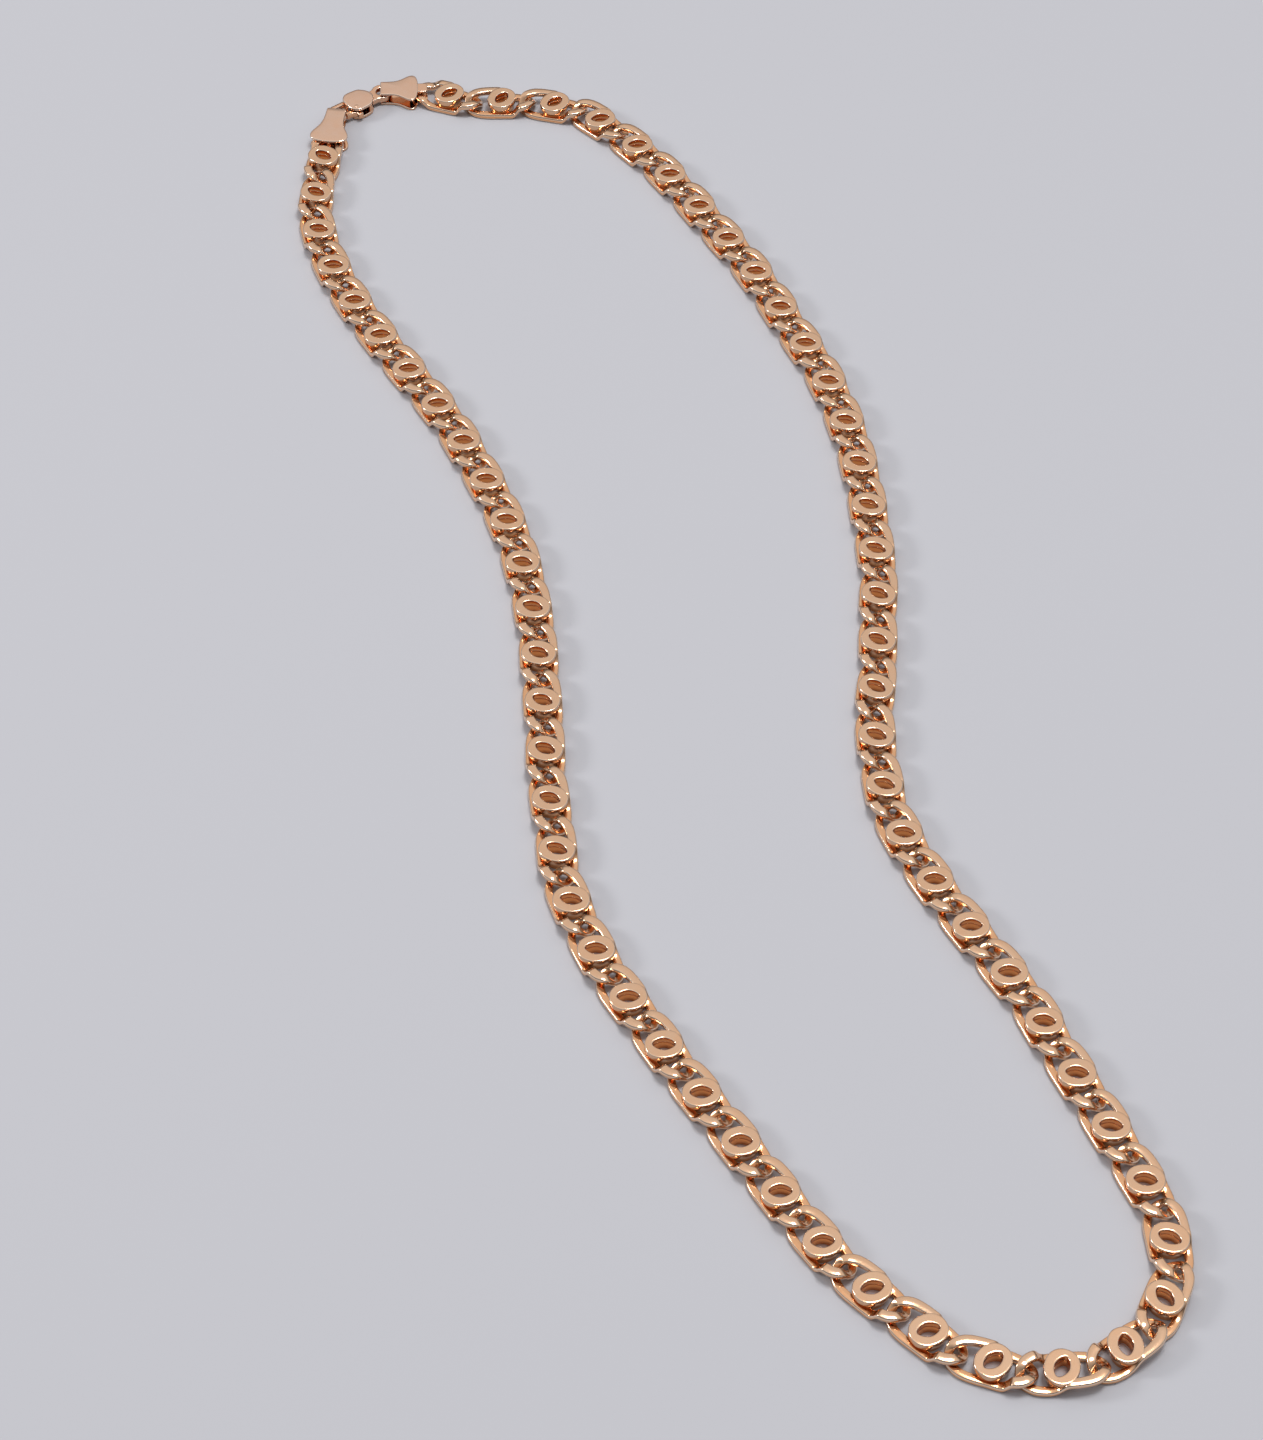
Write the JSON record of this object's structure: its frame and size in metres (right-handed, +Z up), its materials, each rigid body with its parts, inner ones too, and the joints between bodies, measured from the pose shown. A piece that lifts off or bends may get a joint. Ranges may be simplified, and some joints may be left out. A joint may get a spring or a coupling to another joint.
{
  "type": "dress chain with clasp",
  "caption": "Closed chain of flattened eye links, laid flat in a long loop, with two folded end tabs and a sprung lobster clasp.",
  "frame": {"origin": "middle of the laid loop's bounding box, on the surface that it lies on", "axes": "+Z up out of the surface; +Y along the loop towards the clasp; +X to the right when looking along +Y"},
  "size_m": [0.1294, 0.2564, 0.0025],
  "materials": {
    "link_gold": "polished rose gold plate",
    "tab_gold": "polished rose gold plate, flat faces",
    "clasp_gold": "polished rose gold plate",
    "spring_steel": "bright spring steel"
  },
  "bodies": {
    "link_01": {"link_01": "link_gold", "hook_tab": "tab_gold"},
    "link_02": {"link_02": "link_gold"},
    "link_03": {"link_03": "link_gold"},
    "link_04": {"link_04": "link_gold"},
    "link_05": {"link_05": "link_gold"},
    "link_06": {"link_06": "link_gold"},
    "links_07_08": {"links_07_08": "link_gold"},
    "link_09": {"link_09": "link_gold"},
    "links_10_11": {"links_10_11": "link_gold"},
    "link_12": {"link_12": "link_gold"},
    "link_13": {"link_13": "link_gold"},
    "link_14": {"link_14": "link_gold"},
    "link_15": {"link_15": "link_gold"},
    "link_16": {"link_16": "link_gold"},
    "link_17": {"link_17": "link_gold"},
    "link_18": {"link_18": "link_gold"},
    "link_19": {"link_19": "link_gold"},
    "link_20": {"link_20": "link_gold"},
    "link_21": {"link_21": "link_gold"},
    "link_22": {"link_22": "link_gold"},
    "links_23_24": {"links_23_24": "link_gold"},
    "link_25": {"link_25": "link_gold"},
    "link_26": {"link_26": "link_gold"},
    "link_27": {"link_27": "link_gold"},
    "link_28": {"link_28": "link_gold"},
    "link_29": {"link_29": "link_gold"},
    "link_30": {"link_30": "link_gold"},
    "link_31": {"link_31": "link_gold"},
    "link_32": {"link_32": "link_gold"},
    "link_33": {"link_33": "link_gold"},
    "links_34_35": {"links_34_35": "link_gold"},
    "link_36": {"link_36": "link_gold"},
    "link_37": {"link_37": "link_gold"},
    "link_38": {"link_38": "link_gold"},
    "links_39_40": {"links_39_40": "link_gold"},
    "link_41": {"link_41": "link_gold"},
    "link_42": {"link_42": "link_gold"},
    "link_43": {"link_43": "link_gold"},
    "link_44": {"link_44": "link_gold"},
    "link_45": {"link_45": "link_gold"},
    "link_46": {"link_46": "link_gold"},
    "link_47": {"link_47": "link_gold"},
    "links_48_49": {"links_48_49": "link_gold"},
    "link_50": {"link_50": "link_gold"},
    "link_51": {"link_51": "link_gold"},
    "link_52": {"link_52": "link_gold"},
    "links_53_54": {"links_53_54": "link_gold"},
    "link_55": {"link_55": "link_gold"},
    "link_56": {"link_56": "link_gold"},
    "link_57": {"link_57": "link_gold"},
    "link_58": {"link_58": "link_gold"},
    "link_59": {"link_59": "link_gold"},
    "links_60_61": {"links_60_61": "link_gold"},
    "link_62": {"link_62": "link_gold"},
    "ring_tab": {"ring_tab": "tab_gold"},
    "clasp": {"clasp_body": "clasp_gold", "lever_spring": "spring_steel", "lever_rivet": "clasp_gold"},
    "lever": {"clasp_lever": "clasp_gold"}
  },
  "joints": [
    {"name": "link_29_on_link_30", "type": "hinge", "parent": "link_30", "child": "link_29", "pos_m": [0.04154, -0.1255, 0.00125], "axis": [0, 0, 1], "range_deg": [-12, 12]},
    {"name": "link_28_on_link_29", "type": "hinge", "parent": "link_29", "child": "link_28", "pos_m": [0.0327, -0.12263, 0.00125], "axis": [0, 0, 1], "range_deg": [-12, 12]},
    {"name": "link_27_on_link_28", "type": "hinge", "parent": "link_28", "child": "link_27", "pos_m": [0.02568, -0.11653, 0.00125], "axis": [0, 0, 1], "range_deg": [-12, 12]},
    {"name": "link_26_on_link_27", "type": "hinge", "parent": "link_27", "child": "link_26", "pos_m": [0.01888, -0.11018, 0.00125], "axis": [0, 0, 1], "range_deg": [-12, 12]},
    {"name": "link_25_on_link_26", "type": "hinge", "parent": "link_26", "child": "link_25", "pos_m": [0.01341, -0.10266, 0.00125], "axis": [0, 0, 1], "range_deg": [-12, 12]},
    {"name": "links_23_24_on_link_25", "type": "hinge", "parent": "link_25", "child": "links_23_24", "pos_m": [0.00834, -0.09486, 0.00125], "axis": [0, 0, 1], "range_deg": [-12, 12]},
    {"name": "link_22_on_links_23_24", "type": "hinge", "parent": "links_23_24", "child": "link_22", "pos_m": [-0.00192, -0.07935, 0.00125], "axis": [0, 0, 1], "range_deg": [-12, 12]},
    {"name": "link_21_on_link_22", "type": "hinge", "parent": "link_22", "child": "link_21", "pos_m": [-0.00671, -0.07138, 0.00125], "axis": [0, 0, 1], "range_deg": [-12, 12]},
    {"name": "link_20_on_link_21", "type": "hinge", "parent": "link_21", "child": "link_20", "pos_m": [-0.01164, -0.06349, 0.00125], "axis": [0, 0, 1], "range_deg": [-12, 12]},
    {"name": "link_19_on_link_20", "type": "hinge", "parent": "link_20", "child": "link_19", "pos_m": [-0.01557, -0.05506, 0.00125], "axis": [0, 0, 1], "range_deg": [-12, 12]},
    {"name": "link_18_on_link_19", "type": "hinge", "parent": "link_19", "child": "link_18", "pos_m": [-0.01875, -0.04632, 0.00125], "axis": [0, 0, 1], "range_deg": [-12, 12]},
    {"name": "link_17_on_link_18", "type": "hinge", "parent": "link_18", "child": "link_17", "pos_m": [-0.01972, -0.03707, 0.00125], "axis": [0, 0, 1], "range_deg": [-12, 12]},
    {"name": "link_16_on_link_17", "type": "hinge", "parent": "link_17", "child": "link_16", "pos_m": [-0.02102, -0.02787, 0.00125], "axis": [0, 0, 1], "range_deg": [-12, 12]},
    {"name": "link_15_on_link_16", "type": "hinge", "parent": "link_16", "child": "link_15", "pos_m": [-0.02134, -0.01857, 0.00125], "axis": [0, 0, 1], "range_deg": [-12, 12]},
    {"name": "link_14_on_link_15", "type": "hinge", "parent": "link_15", "child": "link_14", "pos_m": [-0.02215, -0.00931, 0.00125], "axis": [0, 0, 1], "range_deg": [-12, 12]},
    {"name": "link_13_on_link_14", "type": "hinge", "parent": "link_14", "child": "link_13", "pos_m": [-0.0228, -0.00003, 0.00125], "axis": [0, 0, 1], "range_deg": [-12, 12]},
    {"name": "link_12_on_link_13", "type": "hinge", "parent": "link_13", "child": "link_12", "pos_m": [-0.02426, 0.00916, 0.00125], "axis": [0, 0, 1], "range_deg": [-12, 12]},
    {"name": "links_10_11_on_link_12", "type": "hinge", "parent": "link_12", "child": "links_10_11", "pos_m": [-0.02635, 0.01822, 0.00125], "axis": [0, 0, 1], "range_deg": [-12, 12]},
    {"name": "link_09_on_links_10_11", "type": "hinge", "parent": "links_10_11", "child": "link_09", "pos_m": [-0.03316, 0.03551, 0.00125], "axis": [0, 0, 1], "range_deg": [-12, 12]},
    {"name": "links_07_08_on_link_09", "type": "hinge", "parent": "link_09", "child": "links_07_08", "pos_m": [-0.03709, 0.04394, 0.00125], "axis": [0, 0, 1], "range_deg": [-12, 12]},
    {"name": "link_06_on_links_07_08", "type": "hinge", "parent": "links_07_08", "child": "link_06", "pos_m": [-0.04694, 0.05971, 0.00125], "axis": [0, 0, 1], "range_deg": [-12, 12]},
    {"name": "link_05_on_link_06", "type": "hinge", "parent": "link_06", "child": "link_05", "pos_m": [-0.05173, 0.06768, 0.00125], "axis": [0, 0, 1], "range_deg": [-12, 12]},
    {"name": "link_04_on_link_05", "type": "hinge", "parent": "link_05", "child": "link_04", "pos_m": [-0.0561, 0.07589, 0.00125], "axis": [0, 0, 1], "range_deg": [-12, 12]},
    {"name": "link_03_on_link_04", "type": "hinge", "parent": "link_04", "child": "link_03", "pos_m": [-0.05958, 0.08451, 0.00125], "axis": [0, 0, 1], "range_deg": [-12, 12]},
    {"name": "link_02_on_link_03", "type": "hinge", "parent": "link_03", "child": "link_02", "pos_m": [-0.06183, 0.09354, 0.00125], "axis": [0, 0, 1], "range_deg": [-12, 12]},
    {"name": "link_01_on_link_02", "type": "hinge", "parent": "link_02", "child": "link_01", "pos_m": [-0.06151, 0.10283, 0.00125], "axis": [0, 0, 1], "range_deg": [-12, 12]},
    {"name": "link_31_on_link_30", "type": "hinge", "parent": "link_30", "child": "link_31", "pos_m": [0.05079, -0.12453, 0.00125], "axis": [0, 0, 1], "range_deg": [-12, 12]},
    {"name": "link_32_on_link_31", "type": "hinge", "parent": "link_31", "child": "link_32", "pos_m": [0.05822, -0.11893, 0.00125], "axis": [0, 0, 1], "range_deg": [-12, 12]},
    {"name": "link_33_on_link_32", "type": "hinge", "parent": "link_32", "child": "link_33", "pos_m": [0.062, -0.11044, 0.00125], "axis": [0, 0, 1], "range_deg": [-12, 12]},
    {"name": "links_34_35_on_link_33", "type": "hinge", "parent": "link_33", "child": "links_34_35", "pos_m": [0.06103, -0.10119, 0.00125], "axis": [0, 0, 1], "range_deg": [-12, 12]},
    {"name": "link_36_on_links_34_35", "type": "hinge", "parent": "links_34_35", "child": "link_36", "pos_m": [0.05346, -0.0842, 0.00125], "axis": [0, 0, 1], "range_deg": [-12, 12]},
    {"name": "link_37_on_link_36", "type": "hinge", "parent": "link_36", "child": "link_37", "pos_m": [0.04953, -0.07577, 0.00125], "axis": [0, 0, 1], "range_deg": [-12, 12]},
    {"name": "link_38_on_link_37", "type": "hinge", "parent": "link_37", "child": "link_38", "pos_m": [0.0459, -0.06721, 0.00125], "axis": [0, 0, 1], "range_deg": [-12, 12]},
    {"name": "links_39_40_on_link_38", "type": "hinge", "parent": "link_38", "child": "links_39_40", "pos_m": [0.04111, -0.05923, 0.00125], "axis": [0, 0, 1], "range_deg": [-12, 12]},
    {"name": "link_41_on_links_39_40", "type": "hinge", "parent": "links_39_40", "child": "link_41", "pos_m": [0.03195, -0.04305, 0.00125], "axis": [0, 0, 1], "range_deg": [-12, 12]},
    {"name": "link_42_on_link_41", "type": "hinge", "parent": "link_41", "child": "link_42", "pos_m": [0.02847, -0.03443, 0.00125], "axis": [0, 0, 1], "range_deg": [-12, 12]},
    {"name": "link_43_on_link_42", "type": "hinge", "parent": "link_42", "child": "link_43", "pos_m": [0.02734, -0.0252, 0.00125], "axis": [0, 0, 1], "range_deg": [-12, 12]},
    {"name": "link_44_on_link_43", "type": "hinge", "parent": "link_43", "child": "link_44", "pos_m": [0.02701, -0.0159, 0.00125], "axis": [0, 0, 1], "range_deg": [-12, 12]},
    {"name": "link_45_on_link_44", "type": "hinge", "parent": "link_44", "child": "link_45", "pos_m": [0.02814, -0.00667, 0.00125], "axis": [0, 0, 1], "range_deg": [-12, 12]},
    {"name": "link_46_on_link_45", "type": "hinge", "parent": "link_45", "child": "link_46", "pos_m": [0.02847, 0.00262, 0.00125], "axis": [0, 0, 1], "range_deg": [-12, 12]},
    {"name": "link_47_on_link_46", "type": "hinge", "parent": "link_46", "child": "link_47", "pos_m": [0.02912, 0.0119, 0.00125], "axis": [0, 0, 1], "range_deg": [-12, 12]},
    {"name": "links_48_49_on_link_47", "type": "hinge", "parent": "link_47", "child": "links_48_49", "pos_m": [0.02847, 0.02118, 0.00125], "axis": [0, 0, 1], "range_deg": [-12, 12]},
    {"name": "link_50_on_links_48_49", "type": "hinge", "parent": "links_48_49", "child": "link_50", "pos_m": [0.02636, 0.03965, 0.00125], "axis": [0, 0, 1], "range_deg": [-12, 12]},
    {"name": "link_51_on_link_50", "type": "hinge", "parent": "link_50", "child": "link_51", "pos_m": [0.02427, 0.04871, 0.00125], "axis": [0, 0, 1], "range_deg": [-12, 12]},
    {"name": "link_52_on_link_51", "type": "hinge", "parent": "link_51", "child": "link_52", "pos_m": [0.0214, 0.05756, 0.00125], "axis": [0, 0, 1], "range_deg": [-12, 12]},
    {"name": "links_53_54_on_link_52", "type": "hinge", "parent": "link_52", "child": "links_53_54", "pos_m": [0.01747, 0.06599, 0.00125], "axis": [0, 0, 1], "range_deg": [-12, 12]},
    {"name": "link_55_on_links_53_54", "type": "hinge", "parent": "links_53_54", "child": "link_55", "pos_m": [0.00976, 0.08291, 0.00125], "axis": [0, 0, 1], "range_deg": [-12, 12]},
    {"name": "link_56_on_link_55", "type": "hinge", "parent": "link_55", "child": "link_56", "pos_m": [0.00497, 0.09088, 0.00125], "axis": [0, 0, 1], "range_deg": [-12, 12]},
    {"name": "link_57_on_link_56", "type": "hinge", "parent": "link_56", "child": "link_57", "pos_m": [0.00032, 0.09893, 0.00125], "axis": [0, 0, 1], "range_deg": [-12, 12]},
    {"name": "link_58_on_link_57", "type": "hinge", "parent": "link_57", "child": "link_58", "pos_m": [-0.00475, 0.10673, 0.00125], "axis": [0, 0, 1], "range_deg": [-12, 12]},
    {"name": "link_59_on_link_58", "type": "hinge", "parent": "link_58", "child": "link_59", "pos_m": [-0.01073, 0.11385, 0.00125], "axis": [0, 0, 1], "range_deg": [-12, 12]},
    {"name": "links_60_61_on_link_59", "type": "hinge", "parent": "link_59", "child": "links_60_61", "pos_m": [-0.01753, 0.1202, 0.00125], "axis": [0, 0, 1], "range_deg": [-12, 12]},
    {"name": "link_62_on_links_60_61", "type": "hinge", "parent": "links_60_61", "child": "link_62", "pos_m": [-0.03589, 0.12213, 0.00125], "axis": [0, 0, 1], "range_deg": [-12, 12]},
    {"name": "ring_tab_on_link_62", "type": "hinge", "parent": "link_62", "child": "ring_tab", "pos_m": [-0.04473, 0.125, 0.00125], "axis": [0, 0, 1], "range_deg": [-12, 12]},
    {"name": "clasp_on_ring_tab", "type": "hinge", "parent": "ring_tab", "child": "clasp", "pos_m": [-0.05193, 0.12479, 0.00125], "axis": [0, 0, 1], "range_deg": [-12, 12]},
    {"name": "lever_on_rivet", "type": "hinge", "parent": "clasp", "child": "lever", "pos_m": [-0.05596, 0.12, 0.00125], "axis": [0, 0, 1], "range_deg": [-25, 0], "stiffness_Nm_per_rad": 0.001, "springref_deg": 11.46}
  ],
  "couplings": [
    {"joint": "link_28_on_link_29", "follows": "link_29_on_link_30", "ratio": -1},
    {"joint": "link_62_on_links_60_61", "follows": "link_29_on_link_30", "ratio": 1},
    {"joint": "ring_tab_on_link_62", "follows": "link_29_on_link_30", "ratio": -1},
    {"joint": "link_26_on_link_27", "follows": "link_27_on_link_28", "ratio": -1},
    {"joint": "link_59_on_link_58", "follows": "link_27_on_link_28", "ratio": 1},
    {"joint": "links_60_61_on_link_59", "follows": "link_27_on_link_28", "ratio": -1},
    {"joint": "links_23_24_on_link_25", "follows": "link_25_on_link_26", "ratio": -1},
    {"joint": "link_57_on_link_56", "follows": "link_25_on_link_26", "ratio": 1},
    {"joint": "link_58_on_link_57", "follows": "link_25_on_link_26", "ratio": -1},
    {"joint": "link_21_on_link_22", "follows": "link_22_on_links_23_24", "ratio": -1},
    {"joint": "link_55_on_links_53_54", "follows": "link_22_on_links_23_24", "ratio": 1},
    {"joint": "link_56_on_link_55", "follows": "link_22_on_links_23_24", "ratio": -1},
    {"joint": "link_05_on_link_06", "follows": "link_06_on_links_07_08", "ratio": -1},
    {"joint": "link_38_on_link_37", "follows": "link_06_on_links_07_08", "ratio": 1},
    {"joint": "links_39_40_on_link_38", "follows": "link_06_on_links_07_08", "ratio": -1},
    {"joint": "links_07_08_on_link_09", "follows": "link_09_on_links_10_11", "ratio": -1},
    {"joint": "link_36_on_links_34_35", "follows": "link_09_on_links_10_11", "ratio": 1},
    {"joint": "link_37_on_link_36", "follows": "link_09_on_links_10_11", "ratio": -1},
    {"joint": "link_19_on_link_20", "follows": "link_20_on_link_21", "ratio": -1},
    {"joint": "link_52_on_link_51", "follows": "link_20_on_link_21", "ratio": 1},
    {"joint": "links_53_54_on_link_52", "follows": "link_20_on_link_21", "ratio": -1},
    {"joint": "link_03_on_link_04", "follows": "link_04_on_link_05", "ratio": -1},
    {"joint": "link_41_on_links_39_40", "follows": "link_04_on_link_05", "ratio": 1},
    {"joint": "link_42_on_link_41", "follows": "link_04_on_link_05", "ratio": -1},
    {"joint": "links_10_11_on_link_12", "follows": "link_12_on_link_13", "ratio": -1},
    {"joint": "link_50_on_links_48_49", "follows": "link_12_on_link_13", "ratio": 1},
    {"joint": "link_51_on_link_50", "follows": "link_12_on_link_13", "ratio": -1},
    {"joint": "link_17_on_link_18", "follows": "link_18_on_link_19", "ratio": -1},
    {"joint": "link_33_on_link_32", "follows": "link_18_on_link_19", "ratio": 1},
    {"joint": "links_34_35_on_link_33", "follows": "link_18_on_link_19", "ratio": -1},
    {"joint": "link_13_on_link_14", "follows": "link_14_on_link_15", "ratio": -1},
    {"joint": "link_47_on_link_46", "follows": "link_14_on_link_15", "ratio": 1},
    {"joint": "links_48_49_on_link_47", "follows": "link_14_on_link_15", "ratio": -1},
    {"joint": "link_15_on_link_16", "follows": "link_16_on_link_17", "ratio": -1},
    {"joint": "link_43_on_link_42", "follows": "link_16_on_link_17", "ratio": 1},
    {"joint": "link_44_on_link_43", "follows": "link_16_on_link_17", "ratio": -1},
    {"joint": "link_01_on_link_02", "follows": "link_02_on_link_03", "ratio": -1},
    {"joint": "link_45_on_link_44", "follows": "link_02_on_link_03", "ratio": 1},
    {"joint": "link_46_on_link_45", "follows": "link_02_on_link_03", "ratio": -1},
    {"joint": "link_32_on_link_31", "follows": "link_31_on_link_30", "ratio": -1},
    {"joint": "clasp_on_ring_tab", "follows": "link_31_on_link_30", "ratio": 1}
  ]
}
